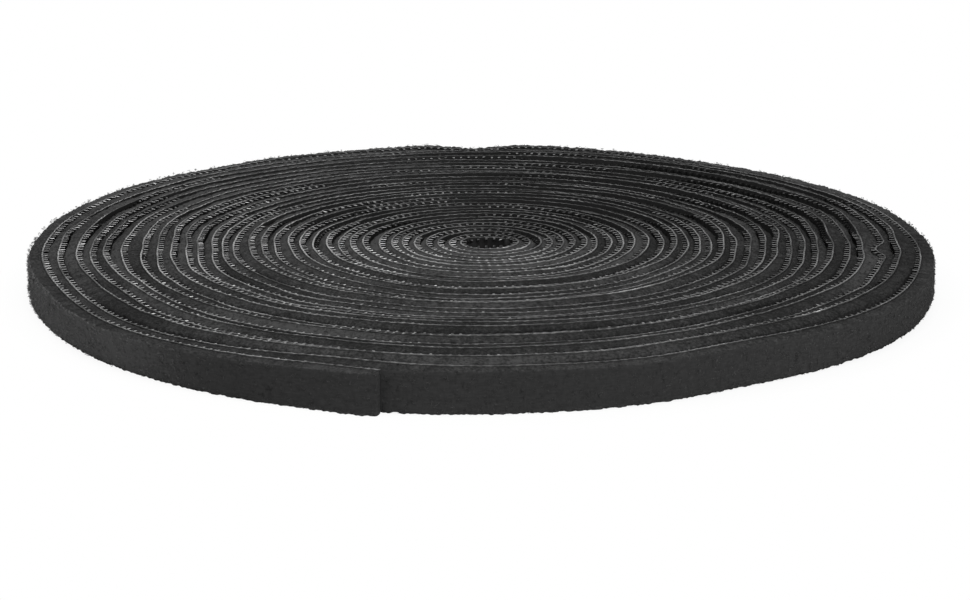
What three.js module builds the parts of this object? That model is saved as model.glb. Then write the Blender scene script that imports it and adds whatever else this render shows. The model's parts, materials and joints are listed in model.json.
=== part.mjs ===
// A flat, coreless roll of narrow hook and loop tape, lying on its side.
// The tape is two plies bonded back to back: a knitted loop ply that faces outwards
// and a moulded hook ply that faces inwards and grips the pile of the turn below.
// Lengths are millimetres. +Z is the axis that the tape is wound round, and the roll
// lies on the plane z = 0 with the origin under the middle of its bounding box.
import * as THREE from 'three';

// Tape, across its width and through its thickness
const tapeWidth = 6.35;
const loopPlyThickness = 1.05;
const hookPlyThickness = 0.95;
const bondLine = 0.1;

// Winding, from the hole in the middle to the free end
const holeRadius = 3.3;
const turnGap = 0.7;
const turns = 24;
const freeEndDegrees = 259;
const freeEndLift = 0.4;

// A roll wound by hand is a little out of round, more so towards its outside
const threeLobeShare = 0.0077;
const fourLobeShare = 0.0101;

// Free end, in short flat lengths that hinge on each other as the tape is peeled back
const tailSegments = 4;
const stepsPerSegment = 2;
const hingeGap = 0.9;

// Flats that stand for the curve: every turn but the outermost has half as many
const fineStepsPerTurn = 44;
const coarseStepSize = 2;

// Worked out from the sizes above
const tapeThickness = hookPlyThickness + bondLine + loopPlyThickness;
const pitch = tapeThickness + turnGap;
const fullTurn = 2 * Math.PI;
const fineStep = fullTurn / fineStepsPerTurn;
const lastStep = turns * fineStepsPerTurn;
const tailSteps = tailSegments * stepsPerSegment;
const coilEndStep = lastStep - tailSteps;
const fineFromStep = lastStep - fineStepsPerTurn;
const freeEndAngle = THREE.MathUtils.degToRad(freeEndDegrees);
const rollRadius = holeRadius + pitch * turns + tapeThickness;

// Depth of each face of the tape, measured outwards from the tips of its hooks
const hookTips = 0;
const hookBack = hookPlyThickness;
const bondMiddle = hookPlyThickness + bondLine / 2;
const loopBack = hookPlyThickness + bondLine;
const pileFace = tapeThickness;

// The place of a point of the tape. step counts the fine flats from the inner end and
// need not be whole; depth is one of the faces above. Angles grow anticlockwise seen
// from above, and so does the radius. The last hinged length lifts a little off the
// turn below it, as a cut end does.
function tapePoint(step, depth) {
  const bearing = freeEndAngle - (lastStep - step) * fineStep;
  const liftedShare = Math.max(0, 1 - (lastStep - step) / stepsPerSegment);
  const radius = holeRadius + pitch * step / fineStepsPerTurn + depth
    + freeEndLift * liftedShare * liftedShare;
  const lobes = threeLobeShare * Math.cos(3 * bearing) + fourLobeShare * Math.cos(4 * bearing);
  const reach = radius * (1 + lobes * radius / rollRadius);
  return new THREE.Vector2(reach * Math.cos(bearing), reach * Math.sin(bearing));
}

// One closed strip of a ply along a list of steps: a four-sided tube, capped at both ends
function plyGeometry(steps, innerDepth, outerDepth) {
  const corners = [];
  const faces = [];
  const quad = (a, b, c, d) => faces.push(a, b, c, a, c, d);
  steps.forEach((step, index) => {
    const inner = tapePoint(step, innerDepth);
    const outer = tapePoint(step, outerDepth);
    corners.push(inner.x, inner.y, 0, outer.x, outer.y, 0);
    corners.push(outer.x, outer.y, tapeWidth, inner.x, inner.y, tapeWidth);
    if (index === 0) return;
    const now = 4 * index;
    const before = now - 4;
    for (let side = 0; side < 4; side += 1) {
      const next = (side + 1) % 4;
      quad(before + side, now + side, now + next, before + next);
    }
  });
  const end = 4 * (steps.length - 1);
  quad(0, 1, 2, 3);
  quad(end + 3, end + 2, end + 1, end);
  const geometry = new THREE.BufferGeometry();
  geometry.setAttribute('position', new THREE.Float32BufferAttribute(corners, 3));
  geometry.setIndex(faces);
  geometry.computeVertexNormals();
  return geometry;
}

// Half of the gap at a hinge, in steps, at a place on the tape
function halfGapSteps(step) {
  return hingeGap / 2 / (tapePoint(step, bondMiddle).length() * fineStep);
}

// Steps of the wound coil: coarse flats, then fine ones on the outermost turn
function coilSteps() {
  const steps = [];
  for (let step = 0; step < coilEndStep; step += step < fineFromStep ? coarseStepSize : 1) {
    steps.push(step);
  }
  steps.push(coilEndStep - halfGapSteps(coilEndStep));
  return steps;
}

// Steps of one hinged length of the free end, counted from the coil outwards
function tailLengthSteps(index) {
  const first = coilEndStep + index * stepsPerSegment;
  const last = first + stepsPerSegment;
  const steps = [first + halfGapSteps(first)];
  for (let step = first + 1; step < last; step += 1) steps.push(step);
  steps.push(index === tailSegments - 1 ? last : last - halfGapSteps(last));
  return steps;
}

// Finishes of the two plies
function loopPlyMaterial() {
  return new THREE.MeshStandardMaterial({ color: 0x1b1b1c, roughness: 0.95, metalness: 0 });
}

function hookPlyMaterial() {
  return new THREE.MeshStandardMaterial({ color: 0x46474a, roughness: 0.5, metalness: 0 });
}

// A length of tape: its two plies, kept apart by the bond line
function tapeLength(name, steps) {
  const length = new THREE.Group();
  const hookPly = new THREE.Mesh(plyGeometry(steps, hookTips, hookBack), hookPlyMaterial());
  hookPly.name = `${name}_hook_ply`;
  const loopPly = new THREE.Mesh(plyGeometry(steps, loopBack, pileFace), loopPlyMaterial());
  loopPly.name = `${name}_loop_ply`;
  length.add(hookPly, loopPly);
  return length;
}

// Distance from a point to the line between two others
function distanceToLine(point, start, end) {
  const line = end.clone().sub(start);
  const along = THREE.MathUtils.clamp(point.clone().sub(start).dot(line) / line.lengthSq(), 0, 1);
  return point.distanceTo(start.clone().addScaledVector(line, along));
}

// Least air gap between one face of the wound tape and another face at least half a
// turn further out, measured from the points of each face to the flats of the other
function leastGap(steps, lowerDepth, upperDepth) {
  let least = Infinity;
  const lower = steps.map((step) => tapePoint(step, lowerDepth));
  const upper = steps.map((step) => tapePoint(step, upperDepth));
  for (let i = 0; i < steps.length; i += 1) {
    for (let j = i + 1; j < steps.length - 1; j += 1) {
      const turnsApart = (steps[j] - steps[i]) / fineStepsPerTurn;
      if (turnsApart < 0.5 || turnsApart > 1.5) continue;
      least = Math.min(least, distanceToLine(lower[i], upper[j], upper[j + 1]));
      if (i > 0) least = Math.min(least, distanceToLine(upper[j], lower[i - 1], lower[i]));
    }
  }
  return least;
}

// Length of the tape along its bond line
function lengthOfTape(steps) {
  const points = steps.map((step) => tapePoint(step, bondMiddle));
  return points.reduce((sum, point, i) => (i ? sum + point.distanceTo(points[i - 1]) : 0), 0);
}

// The roll and its free end, set over the middle of their bounding box
const tapeRoll = new THREE.Group();
tapeRoll.add(tapeLength('roll', coilSteps()));
for (let index = 0; index < tailSegments; index += 1) {
  tapeRoll.add(tapeLength(`tail_${index + 1}`, tailLengthSteps(index)));
}
const middle = new THREE.Box3().setFromObject(tapeRoll).getCenter(new THREE.Vector3());
tapeRoll.position.set(-middle.x, -middle.y, 0);

const tapeSteps = [...coilSteps()];
for (let index = 0; index < tailSegments; index += 1) tapeSteps.push(...tailLengthSteps(index));
console.log('least gap of the loop ply to itself', leastGap(tapeSteps, pileFace, loopBack).toFixed(3));
console.log('least gap of the hook ply to itself', leastGap(tapeSteps, hookBack, hookTips).toFixed(3));
console.log('least gap from turn to turn', leastGap(tapeSteps, pileFace, hookTips).toFixed(3));
console.log('length of tape', lengthOfTape(tapeSteps).toFixed(1));

export default tapeRoll;
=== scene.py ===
import json
import math

import bpy
import numpy as np
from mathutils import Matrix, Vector, noise


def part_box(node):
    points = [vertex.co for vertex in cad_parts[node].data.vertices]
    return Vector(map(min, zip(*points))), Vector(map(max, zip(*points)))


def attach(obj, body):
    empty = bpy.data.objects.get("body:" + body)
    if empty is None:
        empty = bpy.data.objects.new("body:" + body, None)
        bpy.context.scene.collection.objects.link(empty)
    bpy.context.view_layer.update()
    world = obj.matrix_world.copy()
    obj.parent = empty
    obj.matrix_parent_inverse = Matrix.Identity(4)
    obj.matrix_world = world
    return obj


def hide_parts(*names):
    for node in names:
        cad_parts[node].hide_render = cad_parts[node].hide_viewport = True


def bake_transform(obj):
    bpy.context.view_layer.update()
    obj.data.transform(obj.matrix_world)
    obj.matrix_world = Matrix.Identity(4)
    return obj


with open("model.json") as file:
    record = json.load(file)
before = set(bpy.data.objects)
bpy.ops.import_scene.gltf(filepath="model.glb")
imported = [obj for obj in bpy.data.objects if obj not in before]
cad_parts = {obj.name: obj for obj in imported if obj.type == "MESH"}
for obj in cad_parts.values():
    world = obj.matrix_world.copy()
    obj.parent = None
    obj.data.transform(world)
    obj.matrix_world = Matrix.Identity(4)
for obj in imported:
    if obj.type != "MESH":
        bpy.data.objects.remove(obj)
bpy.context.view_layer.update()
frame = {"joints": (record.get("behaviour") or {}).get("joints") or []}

# Camera. The roll is seen from the front and a little above, from about seven of its radii
# away, through a long lens. The lens axis meets the plane it lies on at its middle, which
# is a little above and left of the middle of the picture.
MM = 0.001
PHOTO_WIDTH = 970
PHOTO_HEIGHT = 600
MIDDLE_X = 482.0
MIDDLE_Y = 280.5
FOCAL_PIXELS = 3108.0
VIEW_DISTANCE = 500 * MM
VIEW_DEGREES = 15.0
SENSOR = 36.0
NEAREST_SEEN = 10 * MM
FARTHEST_SEEN = 20.0

tilt = math.radians(VIEW_DEGREES)
camera = bpy.data.objects.new("camera", bpy.data.cameras.new("camera"))
bpy.context.scene.collection.objects.link(camera)
camera.location = (0, -VIEW_DISTANCE * math.cos(tilt), VIEW_DISTANCE * math.sin(tilt))
camera.rotation_euler = (math.pi / 2 - tilt, 0, 0)
camera.data.sensor_width = SENSOR
camera.data.lens = SENSOR * FOCAL_PIXELS / PHOTO_WIDTH
camera.data.shift_x = (PHOTO_WIDTH / 2 - MIDDLE_X) / PHOTO_WIDTH
camera.data.shift_y = (MIDDLE_Y - PHOTO_HEIGHT / 2) / PHOTO_WIDTH
camera.data.clip_start = NEAREST_SEEN
camera.data.clip_end = FARTHEST_SEEN
bpy.context.scene.camera = camera
bpy.context.scene.view_settings.view_transform = "Standard"

# The winding. One tape is wound outwards, anticlockwise seen from above, for 31.6 turns, and
# grips itself. Some turns are slack, some stand higher than the next, and here and there a
# few of them are pressed in together.
FREE_END_DEGREES = 259.15
TURNS = 31.64
ROLL_MIDDLE = Vector((0.16 * MM, -0.05 * MM, 0))
SAMPLES_PER_TURN = 1440
LEFT_BEARING = math.pi

# Where the light line of each turn passes left and right of the middle, in pixels across the
# picture and from the outermost turn inwards, as read off
LEFT_LINES = (39, 57, 75, 89, 102, 118, 136, 149, 164, 177, 191, 206, 219, 231, 246, 259, 272,
              287, 300, 312, 326, 337, 350, 363, 378, 391, 401, 413, 425, 437, 449, 461)
RIGHT_LINES = (922, 902, 887, 867, 853, 838, 825, 812, 798, 783, 771, 757, 741, 726, 711, 701,
               688, 677, 664, 650, 635, 625, 614, 599, 588, 575, 564, 552, 541, 530, 519, 511)
LEAST_SPACING = 1.6 * MM
THREE_LOBE_SHARE = 0.0077
INNER_DRIFT = 0.4 * MM
RIPPLE = 0.40 * MM
RIPPLE_LENGTH = 14 * MM
RIPPLE_START = 0.6
RIPPLE_GROWTH = 2
RIPPLE_INNER = 25 * MM
OWN_RIPPLE = 0.28 * MM
OWN_CHANGE_PER_TURN = 3.7
MOST_LIFT = 0.75 * MM
LIFT_START = 1.15
LIFT_GROWTH = 0.5
INNER_LIFT_SHARE = 0.12
OUTER_LIFT_RATE = 1.4
FLAT_BEARING = 120
FLAT_REACH = 85
FLAT_SHARE = 0.8
LIFTS_PER_TURN = 2.3
LIFT_ROW = 4.5
END_LIFT = 1.9 * MM
END_LIFT_TURNS = 0.08
END_LEAN = 0.5 * MM
MOST_LEAN = 0.35 * MM
LEANS_PER_TURN = 1.7
LEAN_ROW = 9.5
OPEN_SPACING = 4.2 * MM

tape_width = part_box("roll_loop_ply")[1].z


def smooth_step(share):
    share = np.clip(share, 0, 1)
    return share * share * (3 - 2 * share)


def line_radius(pixel):
    """Radius of a turn whose line passes this far from the middle of the picture, seen side on."""
    slope = abs(pixel - MIDDLE_X) / FOCAL_PIXELS
    reach = VIEW_DISTANCE - tape_width * math.sin(tilt)
    return reach * slope / math.sqrt(1 + (math.cos(tilt) * slope) ** 2)


def smooth_noise(x, y, z):
    """Noise from -1 to 1 at many places."""
    return np.array([noise.noise((a, b, c)) for a, b, c in zip(x, y, z)])


def noise_along(places, row=0.0):
    """Noise from -1 to 1 along one row of the noise field."""
    return smooth_noise(places, row + 0 * places, 0 * places)


def degrees_from(bearings, degrees):
    """How many degrees the bearings are from one bearing, either way round."""
    return np.degrees(np.abs(np.angle(np.exp(1j * (bearings - math.radians(degrees))))))


# Turns are counted back from the free end
free_end = math.radians(FREE_END_DEGREES)
turns_back = np.linspace(TURNS, 0, int(TURNS * SAMPLES_PER_TURN) + 1)
bearing = free_end - 2 * math.pi * turns_back
left_turn = (free_end - LEFT_BEARING) / (2 * math.pi)
right_turn = free_end / (2 * math.pi)
known_turns = [left_turn + n for n in range(len(LEFT_LINES))]
known_turns += [right_turn + n for n in range(len(RIGHT_LINES))]
known_radii = [line_radius(pixel) for pixel in LEFT_LINES + RIGHT_LINES]
order = np.argsort(known_turns)
known_turns = np.array(known_turns)[order]
known_radii = np.array(known_radii)[order]
radius = np.interp(turns_back, known_turns, known_radii)

# A blur of a third of a turn rounds the corners between the known places
blur = np.hanning(SAMPLES_PER_TURN // 3)
margin = len(blur) // 2
radius = np.pad(radius, margin, mode="reflect", reflect_type="odd")
radius = np.convolve(radius, blur / blur.sum(), mode="same")[margin:-margin]
lobes = THREE_LOBE_SHARE * (np.cos(3 * bearing) - np.cos(bearing))
radius *= 1 + lobes * radius / radius.max()

# Neighbouring turns follow each other's ripples, and each has a little of its own
place_x = radius * np.cos(bearing) / RIPPLE_LENGTH
place_y = radius * np.sin(bearing) / RIPPLE_LENGTH
inside = smooth_step((turns_back - RIPPLE_START) / RIPPLE_GROWTH) * smooth_step(radius / RIPPLE_INNER)
radius += RIPPLE * inside * smooth_noise(place_x, place_y, 0 * place_x)
own_change = OWN_CHANGE_PER_TURN * turns_back
radius += OWN_RIPPLE * inside * smooth_noise(2 * place_x, 2 * place_y, own_change)

# Where the side of the roll was pressed in, or out if less than 0: bearing in degrees,
# radius, how far, and the reach round the roll in degrees and through the turns
DENTS = (
    (185, 50 * MM, 1.4 * MM, 20, 12 * MM),
    (208, 62 * MM, 1.3 * MM, 24, 8 * MM),
    (355, 52 * MM, 1.3 * MM, 20, 13 * MM),
    (352, 42 * MM, 0.9 * MM, 14, 6 * MM),
    (318, 60 * MM, 1.0 * MM, 24, 8 * MM),
    (22, 60 * MM, -1.0 * MM, 16, 9 * MM),
    (201, 72 * MM, 0.8 * MM, 24, 6 * MM),
    (228, 71 * MM, -0.45 * MM, 24, 15 * MM),
    (252, 71 * MM, 0.2 * MM, 14, 6 * MM),
    (251, 68.9 * MM, 0.6 * MM, 16, 3.2 * MM),
    (269, 69 * MM, -1.0 * MM, 20, 12 * MM),
    (289, 68 * MM, -1.0 * MM, 16, 8 * MM),
    (300, 68 * MM, 0.8 * MM, 20, 14 * MM),
    (328, 70 * MM, -0.7 * MM, 22, 12 * MM),
    (9, 73 * MM, 0.8 * MM, 14, 5 * MM),
    (64, 73 * MM, 1.1 * MM, 12, 5 * MM),
    (80, 71 * MM, -1.6 * MM, 28, 15 * MM),
    (91.5, 73 * MM, 3.8 * MM, 7.5, 5 * MM),
    (99, 73 * MM, -1.3 * MM, 9, 5 * MM),
    (130, 73 * MM, 0.9 * MM, 10, 5 * MM),
    (149, 73 * MM, -0.4 * MM, 7, 5 * MM),
    (177, 73 * MM, 0.4 * MM, 10, 5 * MM),
)
for degrees, depth_place, depth, reach_degrees, reach in DENTS:
    nearness = smooth_step(1 - degrees_from(bearing, degrees) / reach_degrees)
    nearness *= smooth_step(1 - np.abs(radius - depth_place) / reach)
    radius -= depth * nearness

# Creases in one turn: turns back from the free end, depth inwards, and half width in turns
CREASES = (
    (2.734, 1.5 * MM, 0.013),
    (1.722, 0.5 * MM, 0.022),
    (3.728, 0.5 * MM, 0.030),
    (1.235, -0.5 * MM, 0.018),
    (12.70, 0.7 * MM, 0.030),
    (9.70, -0.5 * MM, 0.030),
    (31.50, 0.9 * MM, 0.200),
)
for turn, depth, half_width in CREASES:
    radius -= depth * smooth_step(1 - np.abs(turns_back - turn) / half_width)

# No turn sinks into the one outside it
for start in range(len(radius) - 1 - SAMPLES_PER_TURN, -1, -1):
    radius[start] = min(radius[start], radius[start + SAMPLES_PER_TURN] - LEAST_SPACING)
near_end = np.clip(1 - turns_back / END_LIFT_TURNS, 0, 1)
radius += END_LIFT * near_end ** 1.5

drift = INNER_DRIFT * (1 - radius / radius.max()) ** 2
route_x = ROLL_MIDDLE.x + radius * np.cos(bearing)
route_y = ROLL_MIDDLE.y + radius * np.sin(bearing) + drift
route_steps = np.hypot(np.diff(route_x), np.diff(route_y))
route_length = np.concatenate([[0], np.cumsum(route_steps)])
tape_length = route_length[-1]
along_x = np.gradient(route_x, route_length)
along_y = np.gradient(route_y, route_length)
lift_noise = noise_along(LIFTS_PER_TURN * turns_back, LIFT_ROW)
lift = MOST_LIFT * smooth_step(0.5 + 1.1 * lift_noise)
lift *= smooth_step((turns_back - LIFT_START) / LIFT_GROWTH)
lift *= INNER_LIFT_SHARE + (1 - INNER_LIFT_SHARE) * smooth_step(radius / radius.max() * OUTER_LIFT_RATE)
lift *= 1 - FLAT_SHARE * smooth_step(1 - degrees_from(bearing, FLAT_BEARING) / FLAT_REACH)
lean = MOST_LEAN * noise_along(LEANS_PER_TURN * turns_back, LEAN_ROW)
lean += END_LEAN * near_end

# Where the last turn tips: bearing in degrees, how far its upper edge stands out past its
# lower one, and the reach round the roll in degrees
TIPS = ((226, 1.8 * MM, 28), (265, -1.0 * MM, 24), (328, 1.0 * MM, 28), (5, -0.5 * MM, 22))
for degrees, depth, reach_degrees in TIPS:
    nearness = smooth_step(1 - degrees_from(bearing, degrees) / reach_degrees)
    lean += depth * nearness * smooth_step(2 - turns_back)

# The space from each place to the next turn out, or to nothing outside the last turn
spacing = np.full(len(radius), OPEN_SPACING)
spacing[:-SAMPLES_PER_TURN] = radius[SAMPLES_PER_TURN:] - radius[:-SAMPLES_PER_TURN]


def at(along, values):
    """Values that are known along the route, at places along the tape."""
    return np.interp(along, route_length, values)


def turn_place(turns):
    """How far along the tape the place is that lies so many turns back from the free end."""
    return np.interp(-turns, -turns_back, route_length)


def wind(places):
    """Takes places on the flat tape, along it, outwards and up, to where they are in the roll."""
    along, outwards, up = places.T
    x, y, side_x, side_y, rise, tip = (
        at(along, values)
        for values in (route_x, route_y, along_y, -along_x, lift, lean)
    )
    outwards = outwards + tip * (up / tape_width - 0.5)
    return np.stack([x + side_x * outwards, y + side_y * outwards, up + rise], axis=1)


# Hook film. The inner ply is a thin moulded film as wide as the tape. Its back is bonded
# to the loop ply, and its slit edges show as the thin light line along each turn, which is
# painted light. Its free end is made as four short lengths, each bent over one of the part's hinges.
FILM = 0.23 * MM
FILM_INSET = 0.02 * MM
FILM_BURR = 0.09 * MM
FILM_LIP = 0.24 * MM
FILM_GREY = 0.022
# Painted light on the slit faces and the lip, and near white on the rubbed and glint stretches
SLIT_PAINTED_LIGHT_GREY = 0.44
RUBBED_AND_GLINT_GREY = 0.8
RUBBED_AND_GLINT_GRAIN = 1.7 * MM
BURR_LENGTH = 0.6 * MM
HOOK_PITCH = 1.372 * MM
MERGE_REACH = 0.01 * MM
MAP_UNIT = 10 * MM

# The dressed lengths run from the middle of one hinged length to the middle of the next
hinge_turns = []
for joint in frame["joints"]:
    away = Vector(joint["pos_m"]) - ROLL_MIDDLE
    hinge_turns.append((free_end - math.atan2(away.y, away.x)) / (2 * math.pi) % 1)
hinge_places = [turn_place(turns) for turns in hinge_turns]
half_length = (hinge_places[1] - hinge_places[0]) / 2
tail_cuts = [round((place - half_length) / HOOK_PITCH) for place in hinge_places]
tail_cuts.append(int(tape_length / HOOK_PITCH))
tail_spans = list(zip(tail_cuts[:-1], tail_cuts[1:]))
coil_end = tail_cuts[0]


def bend_tail(piece):
    """Bakes a dressed length of the tail into its own mesh; it is not joined to any body."""
    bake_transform(piece)


def active():
    return bpy.context.view_layer.objects.active


def start_piece(name):
    """Names the primitive that was just added, with its place and size in its mesh."""
    piece = active()
    piece.name = name
    piece.data.name = name
    bpy.ops.object.transform_apply(location=True, rotation=True, scale=True)
    return piece


def edit_where(piece, kind, wanted):
    """Selects the faces or edges that wanted picks, and opens the piece for editing."""
    bpy.context.view_layer.objects.active = piece
    bpy.ops.object.mode_set(mode="EDIT")
    bpy.ops.mesh.select_mode(type=kind)
    bpy.ops.mesh.select_all(action="DESELECT")
    bpy.ops.object.mode_set(mode="OBJECT")
    for part in piece.data.polygons if kind == "FACE" else piece.data.edges:
        part.select = bool(wanted(part))
    bpy.ops.object.mode_set(mode="EDIT")


def cut_across(direction, places):
    """Cuts the whole of the piece that is being edited by planes square to a direction."""
    for place in places:
        bpy.ops.mesh.select_all(action="SELECT")
        bpy.ops.mesh.bisect(plane_co=Vector(direction) * place, plane_no=direction)


def cut_evenly(direction, reach, cuts):
    """Cuts a reach of the piece that is being edited into equal lengths."""
    cut_across(direction, [reach * (n + 1) / (cuts + 1) for n in range(cuts)])


def repeat(piece, step, count, merge):
    """Repeats a short length of tape along it."""
    array = piece.modifiers.new("repeat", "ARRAY")
    array.use_relative_offset = False
    array.use_constant_offset = True
    array.constant_offset_displace = step
    array.count = count
    array.use_merge_vertices = merge
    array.merge_threshold = MERGE_REACH
    bpy.context.view_layer.objects.active = piece
    bpy.ops.object.modifier_apply(modifier=array.name)


def close_ends(piece):
    bpy.context.view_layer.objects.active = piece
    bpy.ops.object.mode_set(mode="EDIT")
    bpy.ops.mesh.select_all(action="SELECT")
    bpy.ops.mesh.fill_holes(sides=0)
    bpy.ops.object.mode_set(mode="OBJECT")


def flat_places(piece):
    places = np.zeros(3 * len(piece.data.vertices), np.float32)
    piece.data.vertices.foreach_get("co", places)
    return places.reshape(-1, 3).astype(float)


def move_vertices(piece, places):
    piece.data.vertices.foreach_set("co", places.astype(np.float32).ravel())
    piece.data.update()


def map_tape(piece, places):
    """Gives the piece a UV map in centimetres along and across the tape."""
    layer = piece.data.uv_layers.get("UVMap") or piece.data.uv_layers.new(name="UVMap")
    corners = np.zeros(len(piece.data.loops), np.int32)
    piece.data.loops.foreach_get("vertex_index", corners)
    across = places[:, [0, 2]] / MAP_UNIT
    layer.data.foreach_set("uv", across[corners].astype(np.float32).ravel())


def store(piece, name, values):
    """Keeps a number at each vertex for the piece's finish."""
    attribute = piece.data.attributes.new(name, "FLOAT", "POINT")
    attribute.data.foreach_set("value", values.astype(np.float32))


def copy_of(piece, name):
    twin = piece.copy()
    twin.data = piece.data.copy()
    twin.name = name
    twin.data.name = name
    bpy.context.scene.collection.objects.link(twin)
    return twin


class Signal:
    """A socket of a material's nodes, so that a finish is written as sums."""

    def __init__(self, tree, socket=None):
        self.tree = tree
        self.socket = socket

    def node(self, kind, settings=(), inputs=(), output=0):
        made = self.tree.nodes.new(kind)
        for name, value in dict(settings).items():
            if name == "stops":
                colours = made.color_ramp.elements
                colours[0].position, colours[0].color = value[0]
                colours[1].position, colours[1].color = value[-1]
                for place, colour in value[1:-1]:
                    colours.new(place).color = colour
            else:
                setattr(made, name, value)
        for name, value in dict(inputs).items():
            if isinstance(value, Signal):
                self.tree.links.new(value.socket, made.inputs[name])
            else:
                made.inputs[name].default_value = value
        return Signal(self.tree, made.outputs[output])

    def sum(self, operation, first, second):
        return self.node("ShaderNodeMath", {"operation": operation}, {0: first, 1: second})

    def __add__(self, other):
        return self.sum("ADD", self, other)

    def __radd__(self, other):
        return self.sum("ADD", other, self)

    def __sub__(self, other):
        return self.sum("SUBTRACT", self, other)

    def __rsub__(self, other):
        return self.sum("SUBTRACT", other, self)

    def __mul__(self, other):
        return self.sum("MULTIPLY", self, other)

    def __rmul__(self, other):
        return self.sum("MULTIPLY", other, self)

    def __abs__(self):
        return self.node("ShaderNodeMath", {"operation": "ABSOLUTE"}, {0: self})


def new_finish(name):
    """An empty material, its surface node and a start for its other nodes."""
    material = bpy.data.materials.new(name)
    material.use_nodes = True
    tree = material.node_tree
    return material, tree.nodes["Principled BSDF"], Signal(tree)


def feed(signal, surface, name):
    signal.tree.links.new(signal.socket, surface.inputs[name])


def grey(level):
    return (level, level, level, 1)


def body_place(start):
    """Where a point of the finish is on the piece's own axes, which are the part's at rest."""
    return start.node("ShaderNodeTexCoord", output=3)


def tape_place(start):
    """Where a point of the finish is on the flat tape, in centimetres."""
    return start.node("ShaderNodeUVMap", {"uv_map": "UVMap"})


def stored(start, name):
    return start.node("ShaderNodeAttribute", {"attribute_name": name}, output=2)


def part_of(vector, axis):
    return vector.node("ShaderNodeSeparateXYZ", {}, {"Vector": vector}, output=axis)


def length_of(vector):
    return vector.node("ShaderNodeVectorMath", {"operation": "LENGTH"}, {0: vector}, output=1)


def clouds(place, scale, detail):
    return place.node("ShaderNodeTexNoise", {}, {"Vector": place, "Scale": scale, "Detail": detail})


def ramp(value, low, high, first, last):
    """Goes from first to last while the value goes from low to high, and stays there."""
    return value.node("ShaderNodeMapRange", {}, {
        "Value": value, "From Min": low, "From Max": high, "To Min": first, "To Max": last,
    })


def shades(value, *stops):
    """A grey for each value: a stop is a value and the level of grey there."""
    stops = [(place, grey(level)) for place, level in stops]
    return value.node("ShaderNodeValToRGB", {"stops": stops}, {"Fac": value})


def mix(share, first, second):
    """The first colour where the share is 0 and the second where it is 1."""
    inputs = {"Factor": share, 6: first, 7: second}
    return share.node("ShaderNodeMix", {"data_type": "RGBA"}, inputs, output=2)


def slit_face(start):
    """1 on faces that face straight up or down, 0 on the rest."""
    normal = start.node("ShaderNodeNewGeometry", output=3)
    return ramp(abs(part_of(normal, 2)), 0.75, 0.9, 0.0, 1.0)


def painted_edge_light(start):
    """Painted light on the slit edges: most on the left, and in front of the hole."""
    body = body_place(start)
    way = start.node("ShaderNodeVectorMath", {"operation": "NORMALIZE"}, {0: body})
    left = ramp(part_of(way, 0), -0.9, 0.0, 1.1, 0.62)
    near_hole = ramp(length_of(body), 8 * MM, 36 * MM, 1.0, 0.0)
    return left * (1 + near_hole * (0.35 - 0.7 * part_of(way, 1)))


def film_finish():
    """Satin black film, with painted light, uneven and beaded, on its slit faces, which face up and
    down, and on a lip of its outer face; painted nearly white on stretches of rubbing and glints.
    """
    material, surface, start = new_finish("hook_film")
    place = tape_place(start)
    stretch = clouds(place, 0.9, 2)
    wear = clouds(place, 11, 3)
    patches = clouds(body_place(start), 90, 2)
    uneven = ramp(0.35 * stretch + 0.3 * wear + 0.35 * patches, 0.43, 0.57, 0.15, 1.0)
    lip_start = (tape_width - FILM_LIP) / MAP_UNIT
    lip = stored(start, "outer") * ramp(part_of(place, 1), lip_start, tape_width / MAP_UNIT, 0.0, 0.8)
    # The slit faces and the lip take painted light, uneven and beaded at the hook pitch
    light_face = start.sum("MAXIMUM", slit_face(start), lip)
    turn_of_beads = 2 * math.pi * MAP_UNIT / HOOK_PITCH
    bead_place = part_of(place, 0) * turn_of_beads
    beads = 0.76 - 0.24 * start.node("ShaderNodeMath", {"operation": "COSINE"}, {0: bead_place})
    slit = light_face * uneven * beads * painted_edge_light(start)
    colour = mix(slit, grey(FILM_GREY), grey(SLIT_PAINTED_LIGHT_GREY))
    colour = mix(light_face * stored(start, "rubbed"), colour, grey(RUBBED_AND_GLINT_GREY))
    feed(colour, surface, "Base Color")
    feed(0.3 + 0.25 * wear, surface, "Roughness")
    return material


film_material = film_finish()

# Stretches whose slit edge is painted nearly white, worn by rubbing and with painted glints: turns back
# from the free end, and reach
RUBBED_AND_GLINT_STRETCHES = (
    (1.838, 5 * MM), (13.875, 10 * MM), (22.87, 6 * MM), (27.08, 3 * MM),
    (29.83, 3 * MM), (30.85, 2.5 * MM),
)


def rubbed_and_glint_share(along):
    """How much the slit edge is painted nearly white, for rubbing and painted glints: in specks, most
    in the middle of each stretch.
    """
    share = 0 * along
    for turn, reach in RUBBED_AND_GLINT_STRETCHES:
        away = np.abs(along - turn_place(turn))
        share = np.maximum(share, smooth_step(1 - away / reach))
    return share * (0.5 + 0.9 * noise_along(along / RUBBED_AND_GLINT_GRAIN))


bpy.ops.object.select_all(action="DESELECT")
bpy.ops.mesh.primitive_cube_add(size=1, location=(HOOK_PITCH / 2, -FILM / 2, tape_width / 2))
active().scale = (HOOK_PITCH, FILM, tape_width - 2 * FILM_INSET)
film_unit = start_piece("film_unit")
edit_where(film_unit, "FACE", lambda face: abs(face.normal.x) > 0.5)
bpy.ops.mesh.delete(type="ONLY_FACE")
cut_evenly((1, 0, 0), HOOK_PITCH, 3)
bpy.ops.object.mode_set(mode="OBJECT")


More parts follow.
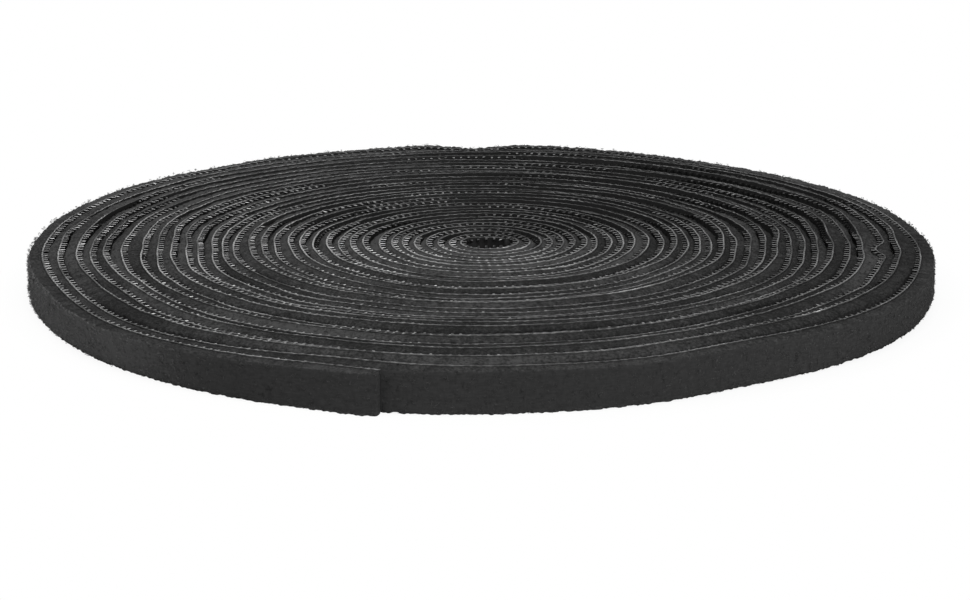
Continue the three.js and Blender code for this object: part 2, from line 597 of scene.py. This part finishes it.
def film_length(name, first, last):
    """A length of hook film, from one hook row to another."""
    film = copy_of(film_unit, name)
    repeat(film, (HOOK_PITCH, 0, 0), last - first, True)
    close_ends(film)
    places = flat_places(film)
    places[:, 0] += first * HOOK_PITCH
    map_tape(film, places)
    burr = smooth_noise(places[:, 0] / BURR_LENGTH, places[:, 1] / MM, places[:, 2] / MM)
    upwards = np.sign(places[:, 2] - tape_width / 2)
    places[:, 2] += FILM_BURR * burr * upwards
    places[:, 1] += FILM_BURR / 2 * burr
    store(film, "outer", places[:, 1] > -FILM / 2)
    store(film, "rubbed", rubbed_and_glint_share(places[:, 0]))
    move_vertices(film, wind(places))
    film.data.materials.append(film_material)
    return film


roll_film = film_length("roll_film", 0, coil_end)
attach(roll_film, "roll")
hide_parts("roll_hook_ply")
for number, span in enumerate(tail_spans):
    film = film_length(f"tail_{number + 1}_film", *span)
    bend_tail(film)
    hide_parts(f"tail_{number + 1}_hook_ply")
bpy.data.objects.remove(film_unit)

# Hooks. Rows of small barbed hooks are moulded on the film, in step along the tape like a comb.
# The slitting knife cut the rows at its edges, and the faces it cut, which face up and down,
# are painted light. Inside the roll only those two rows are made, with the rows between them
# where they can show: in the bore and on the tail.
HOOK_THICK = 0.38 * MM
HOOK_STEM = 0.44 * MM
HOOK_BARB = 0.14 * MM
HOOK_CROWN = 0.30 * MM
HOOK_ROOT = 0.03 * MM
STEM_WIDE = 0.40 * MM
BARB_SHARE = 1.5
CROWN_SHARE = 0.45
CROWN_THIN_SHARE = 0.8
HOOK_ROWS = 6
EDGE_ROW = 0.12 * MM
EDGE_SUNK = 0.75 * MM
KNIFE_STRETCH = 24 * MM
SUNK_INNER = 12 * MM
SUNK_GROWTH = 15 * MM
LEAST_DROP = 0.08 * MM
MOST_DROP = 0.24 * MM
FRONT_DROP = 0.04 * MM
DROP_SPREAD = 0.03 * MM
DROP_STRETCH = 40 * MM
DROP_ROW = 7
SLANT_SPREAD = 0.12
SHIFT_SPREAD = 0.03 * MM
HEIGHT_SPREAD = 0.08
TONE_STRETCH = 15 * MM
TONE_ROW = 3
UPPER_EDGE_ROW = 3.1
CUT_MARGIN = 0.01 * MM
GLINT_SHARE = 0.02
RUBBED_AND_GLINT_HOOK_SHARE = 0.8
WHOLE_HOOK_TONE = 0.4
# The hooks' sides are painted darker than the nylon, a painted shade between them; in the bore and on
# the tail they are painted lighter, painted light in the hole
SHADED_HOOK_GREY = 0.013
LIT_BORE_HOOK_GREY = 0.06


def hook_finish(name, dark):
    """Satin black nylon, with painted light on its cut faces, each a little lighter or darker than the
    next.
    """
    material, surface, start = new_finish(name)
    tone = stored(start, "tone") * slit_face(start) * painted_edge_light(start)
    colour = shades(tone, (0, dark), (0.3, 0.10), (0.9, 0.50), (1, 0.9))
    feed(colour, surface, "Base Color")
    surface.inputs["Roughness"].default_value = 0.4
    surface.inputs["Specular IOR Level"].default_value = 0.2
    return material


hook_material = hook_finish("hooks", SHADED_HOOK_GREY)
bore_material = hook_finish("bore_hooks", LIT_BORE_HOOK_GREY)

bpy.ops.object.select_all(action="DESELECT")
stem_middle = -FILM - HOOK_STEM / 2 + HOOK_ROOT
bpy.ops.mesh.primitive_cube_add(size=1, location=(HOOK_PITCH / 2, stem_middle, 0))
active().scale = (HOOK_THICK, HOOK_STEM, STEM_WIDE)
hook_unit = start_piece("hook_unit")
edit_where(hook_unit, "FACE", lambda face: face.normal.y < -0.5)
bpy.ops.mesh.extrude_region_move(TRANSFORM_OT_translate={"value": (0, -HOOK_BARB / 2, 0)})
bpy.ops.transform.resize(value=(1, 1, BARB_SHARE))
bpy.ops.mesh.extrude_region_move(TRANSFORM_OT_translate={"value": (0, -HOOK_CROWN, 0)})
bpy.ops.transform.resize(value=(CROWN_THIN_SHARE, 1, CROWN_SHARE))
bpy.ops.object.mode_set(mode="OBJECT")
edit_where(hook_unit, "FACE", lambda face: face.normal.y > 0.9 and face.center.y > -HOOK_STEM)
bpy.ops.mesh.delete(type="FACE")
bpy.ops.object.mode_set(mode="OBJECT")


def sunk_share(along, level):
    """0 where whole hooks stand at the slit edge, 1 where the knife cut between two rows."""
    backwards = smooth_step(np.sin(at(along, bearing)) / 0.7)
    outer = smooth_step((at(along, radius) - SUNK_INNER) / SUNK_GROWTH)
    share = noise_along(along / KNIFE_STRETCH, level)
    share = smooth_step(2.4 * share - 0.5 + (1 + 0.25 * outer) * backwards)
    return share * (at(along, turns_back) > 1)


def hook_length(name, first, last, first_row, rows):
    """Rows of hooks along a length of tape, each hook turned and toned a little by chance."""
    hooks = copy_of(hook_unit, name)
    corners = len(hooks.data.vertices)
    row_step = (tape_width - 2 * EDGE_ROW) / (HOOK_ROWS - 1)
    repeat(hooks, (0, 0, row_step), rows, False)
    repeat(hooks, (HOOK_PITCH, 0, 0), last - first, False)
    places = flat_places(hooks)
    places[:, 0] += first * HOOK_PITCH
    chance = np.random.default_rng(100 * first + first_row)
    count = len(places) // corners
    along = places[::corners, 0]
    row = np.arange(count) % rows + first_row
    level = UPPER_EDGE_ROW * (row > HOOK_ROWS / 2)
    backwards = np.sin(at(along, bearing))
    sunk = sunk_share(along, level)
    inwards = np.where(row > HOOK_ROWS / 2, -1, 1)
    slant, shift, height = (np.repeat(chance.normal(0, 1, count), corners) for _ in range(3))
    depth = -FILM - places[:, 1]
    places[:, 0] += slant * SLANT_SPREAD * depth + shift * SHIFT_SPREAD
    places[:, 1] -= height * HEIGHT_SPREAD * depth
    places[:, 2] += EDGE_ROW + first_row * row_step + np.repeat(EDGE_SUNK * sunk * inwards, corners)
    drop = smooth_step(0.5 + noise_along(along / DROP_STRETCH, level + DROP_ROW))
    drop = LEAST_DROP + (MOST_DROP - LEAST_DROP) * drop + DROP_SPREAD * chance.normal(0, 1, count)
    drop += FRONT_DROP * smooth_step(-backwards / 0.8)
    drop = np.repeat(np.maximum(drop, FILM_INSET), corners)
    places[:, 2] = np.clip(places[:, 2], drop, tape_width - drop)
    cut = np.abs(places[:, 2] - tape_width / 2) > tape_width / 2 - drop - CUT_MARGIN
    # Painted light on the cut faces: a random tone, painted glints on a few hooks and on the rubbed and
    # glint stretches, and weaker painted light on the uncut hooks of the bore and tail
    tone = 0.3 + 0.4 * chance.random(count)
    tone += 0.3 * smooth_step(0.5 + noise_along(along / TONE_STRETCH, level + TONE_ROW))
    tone[chance.random(count) < GLINT_SHARE] = 1
    tone[chance.random(count) < RUBBED_AND_GLINT_HOOK_SHARE * rubbed_and_glint_share(along)] = 1
    tone = np.where(cut, 1, WHOLE_HOOK_TONE * (rows > 1)) * np.repeat(tone, corners)
    store(hooks, "tone", tone)
    move_vertices(hooks, wind(places))
    hooks.data.materials.append(hook_material if rows == 1 else bore_material)
    return hooks


for name, row in (("lower", 0), ("upper", HOOK_ROWS - 1)):
    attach(hook_length(f"roll_hooks_{name}", 0, coil_end, row, 1), "roll")
bore_end = round(turn_place(TURNS - 1) / HOOK_PITCH)
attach(hook_length("roll_hooks_bore", 0, bore_end, 1, HOOK_ROWS - 2), "roll")
for number, span in enumerate(tail_spans):
    bend_tail(hook_length(f"tail_{number + 1}_hooks", *span, 0, HOOK_ROWS))
bpy.data.objects.remove(hook_unit)

# Loop pile. The outer ply is a knitted backing whose loops are brushed up into a soft nap.
# It is squeezed where the next turn lies tight on it, and stands up where nothing holds it.
PILE_SQUEEZED = 1.12 * MM
PILE_FREE = 2.0 * MM
PILE_SLACK = 4.6 * MM
PILE_UNDER_TAIL = 3.0 * MM
SIDE_GAP = 0.06 * MM
TAIL_SIDE_GAP = 0.17 * MM
PILE_ROUND = 0.25 * MM
HOOKS_DEEP = 0.72 * MM
PILE_INSET = 0.18 * MM
PILE_FALL = 0.5 * MM
PILE_OVER_HOOKS = 0.22 * MM
PILE_OVER_SUNK = 0.6 * MM
LEAST_PILE_SHARE = 0.8
PILE_THINNED = 0.45
PILE_THINNED_REACH = 3.5 * MM
PILE_BUMP = 0.15 * MM
EDGE_DEPTH = 1.4 * MM
# Shares of random lay and of painted light and shade on the pile's edges, inner turns and last turn
EDGE_LAY_AND_LIGHT = 0.8
LAST_EDGE_DEPTH = 0.45 * MM
LAST_EDGE_LAY_AND_LIGHT = 0.3
NAP = 0.20 * MM
ROUGH_LENGTH = 1.3 * MM
ROUGH_HEIGHT = 0.8 * MM
FINE_LENGTH = 0.5 * MM
FINE_HEIGHT = 0.4 * MM
LIGHT_CUT = 0.8 * MM
FLOOR_GAP = 0.01 * MM
LAST_TURN = 1.22
LAST_TURN_GROWTH = 0.1
COVERED_TURN = 0.975
COVERED_GROWTH = 0.03
ROOM_STRETCH = 9 * MM
ROOM_ROW = 0.5
PATCH_STRETCH = 12 * MM
PATCH_ROW = 1.5
BRUSHED_BEARING = 125
BRUSHED_REACH = 80
BRUSHED_INNER = 30 * MM
BRUSHED_GROWTH = 20 * MM


def painted_top_light(start):
    """Painted light and shade along the tape's edges: painted shade towards the back, and painted
    light left of the hole, round it, and behind it away from the middle."""
    body = body_place(start)
    sideways = part_of(body, 0)
    back = part_of(body, 1)
    darker = ramp(back, -60 * MM, 60 * MM, -0.01, -0.04)
    inner_left = ramp(sideways, -30 * MM, 20 * MM, 0.19, 0.0)
    far_left = ramp(sideways, -65 * MM, -45 * MM, 0.4, 1.0)
    not_front = ramp(back, -25 * MM, 0.0, 0.0, 1.0)
    near_hole = ramp(length_of(body), 6 * MM, 28 * MM, 0.22, 0.0)
    off_middle = ramp(abs(sideways), 4 * MM, 30 * MM, 0.0, 0.18)
    behind = ramp(back, 12 * MM, 36 * MM, 0.0, 1.0)
    return darker + inner_left * far_left * not_front + near_hole + off_middle * behind


def wall_sheen_and_cut_end(start):
    """A painted sheen round the outside, lighter towards the left and right, and lighter where
    the free end was cut."""
    sideways = part_of(body_place(start), 0)
    left = ramp(sideways, -62 * MM, -35 * MM, 1.6, 0.0)
    right = ramp(sideways, 5 * MM, 50 * MM, 0.0, 0.5)
    along = part_of(tape_place(start), 0)
    cut = ramp(along, (tape_length - LIGHT_CUT) / MAP_UNIT, tape_length / MAP_UNIT, 0.0, 1.6)
    return left + right + cut


def pile_finish(name, edge_depth, lay_and_light):
    """Napped knit pile: nearly black, streaked along the tape where it is brushed, with painted light:
    a painted sheen on the outside, and painted light and shade along the edges.
    """
    material, surface, start = new_finish(name)
    place = tape_place(start)
    body = body_place(start)
    stretched = start.node("ShaderNodeMapping", {}, {"Vector": place, "Scale": (0.3, 1.6, 1)})
    streaks = clouds(stretched, 26, 4)
    tufts = clouds(body, 2600, 3)
    lay = clouds(place, 0.2, 1)
    # Both colours carry painted light: the outside's painted sheen, and painted light and shade on the
    # edges
    brushing_and_light = 0.7 * streaks + 0.3 * tufts + 0.5 * wall_sheen_and_cut_end(start) + 1.3 * lay_and_light * painted_top_light(start)
    brushed = shades(brushing_and_light, (0.3, 0.027), (0.7, 0.040), (1, 0.066))
    cutting = 0.75 * tufts + 0.4 * streaks - 0.075 + lay_and_light * (lay - 0.5) + painted_top_light(start)
    cut_ends = shades(cutting, (0.34, 0.018), (0.5, 0.034), (0.68, 0.066))
    from_middle = abs(part_of(body, 2) - tape_width / 2)
    edge = tape_width / 2 - edge_depth
    slit = ramp(from_middle, edge, edge + edge_depth / 2, 0.0, 1.0)
    feed(mix(slit, brushed, cut_ends), surface, "Base Color")
    bump = start.node("ShaderNodeBump", {}, {
        "Strength": 0.4, "Distance": PILE_BUMP, "Height": streaks + tufts,
    })
    feed(bump, surface, "Normal")
    surface.inputs["Roughness"].default_value = 1.0
    surface.inputs["Specular IOR Level"].default_value = 0.05
    return material


pile_material = pile_finish("pile", EDGE_DEPTH, EDGE_LAY_AND_LIGHT)
last_turn_pile = pile_finish("pile_last_turn", LAST_EDGE_DEPTH, LAST_EDGE_LAY_AND_LIGHT)


def pile_unit(name, cuts_along, cuts_deep, cuts_across):
    """A short length of pile with rounded edges, open at both ends, one hook pitch long."""
    height = tape_width - PILE_INSET
    bpy.ops.object.select_all(action="DESELECT")
    bpy.ops.mesh.primitive_cube_add(size=1, location=(HOOK_PITCH / 2, PILE_SQUEEZED / 2, height / 2))
    active().scale = (HOOK_PITCH, PILE_SQUEEZED, height)
    unit = start_piece(name)
    edit_where(unit, "FACE", lambda face: abs(face.normal.x) > 0.5)
    bpy.ops.mesh.delete(type="ONLY_FACE")
    bpy.ops.object.mode_set(mode="OBJECT")
    corner = unit.data.vertices
    edit_where(unit, "EDGE", lambda edge: all(
        corner[index].co.y > PILE_SQUEEZED / 2 for index in edge.vertices
    ) and abs(corner[edge.vertices[0]].co.x - corner[edge.vertices[1]].co.x) > HOOK_PITCH / 2)
    bpy.ops.mesh.bevel(offset=PILE_ROUND, segments=2, affect="EDGES")
    cut_evenly((1, 0, 0), HOOK_PITCH, cuts_along)
    cut_evenly((0, 1, 0), PILE_SQUEEZED - PILE_ROUND, cuts_deep)
    cut_evenly((0, 0, 1), tape_width, cuts_across)
    bpy.ops.object.mode_set(mode="OBJECT")
    return unit


def brushed_up(along):
    """0 where the edge of the pile is pressed down, 1 where it stands up: most at the back left."""
    away = degrees_from(at(along, bearing), BRUSHED_BEARING)
    patches = noise_along(along / PATCH_STRETCH, PATCH_ROW)
    outer = smooth_step((at(along, radius) - BRUSHED_INNER) / BRUSHED_GROWTH)
    share = 0.75 * outer * smooth_step(1 - away / BRUSHED_REACH)
    return np.clip(0.25 + share + 0.5 * patches, 0, 1)


def pile_depth(along):
    """How thick the pile is at places along the tape."""
    beside = np.cos(at(along, bearing)) ** 2
    back = at(along, turns_back)
    inner = smooth_step((back - LAST_TURN) / LAST_TURN_GROWTH)
    side_gap = TAIL_SIDE_GAP + (SIDE_GAP - TAIL_SIDE_GAP) * inner
    room = at(along, spacing) - FILM - HOOKS_DEEP - side_gap * beside
    room = room + PILE_OVER_HOOKS * noise_along(along / ROOM_STRETCH, ROOM_ROW)
    room = room + PILE_OVER_SUNK * sunk_share(along, UPPER_EDGE_ROW)
    covered = smooth_step((back - COVERED_TURN) / COVERED_GROWTH)
    most = PILE_FREE + (PILE_UNDER_TAIL - PILE_FREE) * covered
    most = most + (PILE_SLACK - PILE_UNDER_TAIL) * inner
    most *= 1 - PILE_THINNED * smooth_step(1 - (tape_length - along) / PILE_THINNED_REACH)
    return np.clip(room, LEAST_PILE_SHARE * PILE_SQUEEZED, most)


def pile_length(name, unit, first, last):
    """A length of pile, thick or thin as the turns leave room, and roughened by its nap."""
    pile = copy_of(unit, name)
    repeat(pile, (HOOK_PITCH, 0, 0), last - first, True)
    close_ends(pile)
    normals = np.zeros(3 * len(pile.data.vertices), np.float32)
    pile.data.vertex_normals.foreach_get("vector", normals)
    normals = normals.reshape(-1, 3)
    places = flat_places(pile)
    places[:, 0] += first * HOOK_PITCH
    map_tape(pile, places)
    share = places[:, 1] / PILE_SQUEEZED
    along, outwards, up = places.T
    rough = smooth_noise(along / ROUGH_LENGTH, outwards / MM, up / ROUGH_HEIGHT)
    fine = smooth_noise(along / FINE_LENGTH, outwards / FINE_HEIGHT, up / FINE_HEIGHT)
    push = NAP * (0.6 * rough + fine)
    push *= np.clip(6 * share, 0, 1)
    places[:, 1] = share * pile_depth(places[:, 0])
    places += push[:, None] * normals * [0, 1, 1]
    places[:, 2] = np.maximum(places[:, 2], FLOOR_GAP)
    if last <= last_turn:
        fall = PILE_FALL * (1 - brushed_up(places[:, 0]))
        places[:, 2] -= fall * share ** 2 * (up > tape_width / 2)
    move_vertices(pile, wind(places))
    pile.data.shade_smooth()
    for face in pile.data.polygons:
        face.use_smooth = len(face.vertices) < 6
    pile.data.materials.append(pile_material if last <= last_turn else last_turn_pile)
    return pile


last_turn = round(turn_place(LAST_TURN) / HOOK_PITCH)
plain_pile = pile_unit("plain_pile", cuts_along=3, cuts_deep=2, cuts_across=1)
fine_pile = pile_unit("fine_pile", cuts_along=5, cuts_deep=2, cuts_across=15)
coil_thirds = [round(last_turn * share) for share in (0, 0.34, 0.67, 1)]
for number, span in enumerate(zip(coil_thirds[:-1], coil_thirds[1:])):
    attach(pile_length(f"roll_pile_{number + 1}", plain_pile, *span), "roll")
roll_pile = pile_length("roll_pile_last_turn", fine_pile, last_turn, coil_end)
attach(roll_pile, "roll")
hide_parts("roll_loop_ply")
for number, span in enumerate(tail_spans):
    pile = pile_length(f"tail_{number + 1}_pile", fine_pile, *span)
    bend_tail(pile)
    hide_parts(f"tail_{number + 1}_loop_ply")
bpy.data.objects.remove(plain_pile)
bpy.data.objects.remove(fine_pile)

# Fuzz. Loose ends and loops of the nap stand off the pile as fine bent fibres: all over the
# outside of the last turn, along the upper edge of every turn, and along the lower edge of all
# but the last.
FIBRE_THICK = 0.055 * MM
FIBRE_BEND = 0.16
FIBRE_ROOT = 0.05 * MM
LONG_FIBRE = 0.62 * MM
SHORT_FIBRE = 0.32 * MM
PRESSED = 0.85
TUFT_FIBRES = 6
TUFT_SPREAD = 0.2 * MM
TUFT_TIP = 0.06 * MM
TUFT_AIM = 0.4
UPPER_FIBRES = 27000
LOWER_FIBRES = 9000
WALL_FIBRES = 33000
LAST_EDGE_FIBRES = 5000
TAIL_FIBRES = 1700
TAIL_EDGE_FIBRES = 300


def fuzz_finish(name, on_edge):
    """Single nylon fibres: the pile's black, a little lighter by chance, with the pile's painted light.
    """
    material, surface, start = new_finish(name)
    tufts = clouds(body_place(start), 1100, 2)
    if on_edge:
        colour = shades(tufts + painted_top_light(start), (0.36, 0.026), (0.62, 0.056))
    else:
        tone = tufts + 0.3 * wall_sheen_and_cut_end(start)
        colour = shades(tone, (0.36, 0.020), (0.62, 0.064), (0.9, 0.13))
    feed(colour, surface, "Base Color")
    surface.inputs["Roughness"].default_value = 0.6
    surface.inputs["Specular IOR Level"].default_value = 0.25
    return material


wall_fuzz_material = fuzz_finish("fuzz", False)
edge_fuzz_material = fuzz_finish("edge_fuzz", True)

# One fibre, one unit long and one across, pointed at both ends and widest in the middle
bpy.ops.object.select_all(action="DESELECT")
bpy.ops.mesh.primitive_cone_add(
    vertices=3, radius1=0.5, radius2=0, depth=0.5, end_fill_type="NOTHING", location=(0, 0, 0.75)
)
fibre_unit = start_piece("fibre_unit")
edit_where(fibre_unit, "EDGE", lambda edge: max(
    fibre_unit.data.vertices[index].co.z for index in edge.vertices) < 0.75)
bpy.ops.mesh.extrude_edges_move(TRANSFORM_OT_translate={"value": (0, 0, -0.5)})
bpy.ops.mesh.merge(type="CENTER")
bpy.ops.object.mode_set(mode="OBJECT")


def fuzz_length(name, first, last, count, side, longest):
    """Fibres in tufts along a length of tape: side is 1 for its upper edge, -1 for its lower
    edge and 0 for the outside of the pile."""
    fuzz = copy_of(fibre_unit, name)
    corners = len(fuzz.data.vertices)
    repeat(fuzz, (2, 0, 0), count, False)
    chance = np.random.default_rng(first + 10 * count + side)
    tufts = count // TUFT_FIBRES
    along = HOOK_PITCH * (first + (last - first) * chance.random(tufts))
    depth = pile_depth(along)
    if side:
        outwards = depth * (0.1 + 0.85 * chance.random(tufts))
        fall = PILE_FALL * (1 - brushed_up(along)) * (outwards / depth) ** 2
        up = np.where(side > 0, tape_width, 0) - side * (PILE_INSET + fall)
        aim = np.stack([0 * along, 0.5 * outwards / depth - 0.1, 0 * along + side], axis=1)
        flat = np.array([1, 1, 0])
    else:
        outwards = depth - FIBRE_ROOT
        up = tape_width * (0.02 + 0.98 * chance.random(tufts))
        upwards = 0.6 * np.maximum(up / tape_width - 0.5, -0.1)
        aim = np.stack([0 * along, 0 * along + 1, upwards], axis=1)
        flat = np.array([1, 0, 1])
    centre = np.stack([along, outwards, up], axis=1)
    aim += chance.normal(0, TUFT_AIM, (tufts, 3))
    aim /= np.linalg.norm(aim, axis=1)[:, None]
    under_tail = (at(along, turns_back) > 1) * (last > last_turn)
    if side:
        reach = longest * (0.3 + 0.7 * chance.random(tufts) ** 2)
        reach *= 0.5 + 0.7 * brushed_up(along) if last <= last_turn else 0.5
    else:
        sideways = np.cos(at(along, bearing))
        reach = longest * (0.5 + 0.5 * chance.random(tufts))
        reach *= 0.25 + 0.5 * sideways ** 2 - 0.2 * sideways
    reach *= 1 - PRESSED * under_tail
    tip = centre + aim * reach[:, None]
    owner = chance.integers(0, tufts, count)
    base = centre[owner] + chance.normal(0, TUFT_SPREAD, (count, 3)) * flat
    base[:, 2] = np.clip(base[:, 2], 0, tape_width)
    end = tip[owner] + chance.normal(0, TUFT_TIP, (count, 3))
    length = np.linalg.norm(end - base, axis=1)[:, None]
    middle = (base + end) / 2 + FIBRE_BEND * length * chance.normal(0, 1, (count, 3))
    across = np.cross(end - base, chance.normal(0, 1, (count, 3)))
    across *= FIBRE_THICK / np.linalg.norm(across, axis=1)[:, None]
    beside = np.cross(end - base, across) / length
    shape = flat_places(fuzz)[:corners]
    places = np.zeros((count, corners, 3))
    for corner, (wide, deep, share) in enumerate(shape):
        spine = base if share < 0.25 else middle if share < 0.75 else end
        places[:, corner] = spine + wide * across + deep * beside
    places = places.reshape(-1, 3)
    places[:, 2] = np.maximum(places[:, 2], FLOOR_GAP)
    move_vertices(fuzz, wind(places))
    fuzz.data.materials.append(edge_fuzz_material if side else wall_fuzz_material)
    return fuzz


for number, span in enumerate(zip(coil_thirds[:-1], coil_thirds[1:])):
    fuzz = fuzz_length(f"roll_fuzz_upper_{number + 1}", *span, UPPER_FIBRES, 1, SHORT_FIBRE)
    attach(fuzz, "roll")
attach(fuzz_length("roll_fuzz_lower", 0, last_turn, LOWER_FIBRES, -1, SHORT_FIBRE), "roll")
last_span = (last_turn, coil_end)
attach(fuzz_length("roll_fuzz_last_turn", *last_span, WALL_FIBRES, 0, LONG_FIBRE), "roll")
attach(fuzz_length("roll_fuzz_last_edge", *last_span, LAST_EDGE_FIBRES, 1, SHORT_FIBRE), "roll")
for number, span in enumerate(tail_spans):
    wall = fuzz_length(f"tail_{number + 1}_fuzz", *span, TAIL_FIBRES, 0, LONG_FIBRE)
    bend_tail(wall)
    edge = fuzz_length(f"tail_{number + 1}_fuzz_edge", *span, TAIL_EDGE_FIBRES, 1, SHORT_FIBRE)
    bend_tail(edge)
bpy.data.objects.remove(fibre_unit)

# Floor, light and sky. A white floor under three broad soft lamps: above, on the left, and in
# front on the right. The floor shows white to the camera and keeps a faint shadow.
FLOOR_SIZE = 12.0
FLOOR_GLOW = 0.84
FLOOR_GREY = 0.96
GLOW_NEAR = 69 * MM
GLOW_FAR = 78 * MM
SKY_LIGHT = 0.18
LAMPS = (
    ("top", (0, -0.52, 2.95), 1.6, 53.0),
    ("left", (-2.22, -0.19, 2.01), 1.6, 20.0),
    ("front", (1.57, -2.25, 1.22), 1.6, 27.0),
)

bpy.ops.object.select_all(action="DESELECT")
bpy.ops.mesh.primitive_plane_add(size=FLOOR_SIZE)
floor = start_piece("floor")
floor_material, floor_surface, start = new_finish("floor")
floor_surface.inputs["Base Color"].default_value = grey(FLOOR_GREY)
floor_surface.inputs["Roughness"].default_value = 1.0
seen = start.node("ShaderNodeLightPath", output=0)
glow = start.node("ShaderNodeEmission", {}, {"Color": grey(1), "Strength": 1.0})
plain = Signal(start.tree, floor_surface.outputs[0])
share = ramp(length_of(body_place(start)), GLOW_NEAR, GLOW_FAR, FLOOR_GLOW, 1.0)
mixed = start.node("ShaderNodeMixShader", {}, {0: seen * share, 1: plain, 2: glow})
start.tree.links.new(mixed.socket, start.tree.nodes["Material Output"].inputs["Surface"])
floor.data.materials.append(floor_material)

sky = bpy.data.worlds.new("sky")
sky.use_nodes = True
bpy.context.scene.world = sky
sky_start = Signal(sky.node_tree)
seen = sky_start.node("ShaderNodeLightPath", output=0)
sky_light = sky.node_tree.nodes["Background"]
sky_light.inputs["Color"].default_value = grey(1)
sky.node_tree.links.new((seen * (1 - SKY_LIGHT) + SKY_LIGHT).socket, sky_light.inputs["Strength"])

for name, place, size, power in LAMPS:
    lamp = bpy.data.objects.new(name, bpy.data.lights.new(name, "AREA"))
    lamp.data.shape = "DISK"
    lamp.data.size = size
    lamp.data.energy = power
    lamp.location = place
    lamp.rotation_euler = (-Vector(place)).to_track_quat("-Z", "Y").to_euler()
    bpy.context.scene.collection.objects.link(lamp)
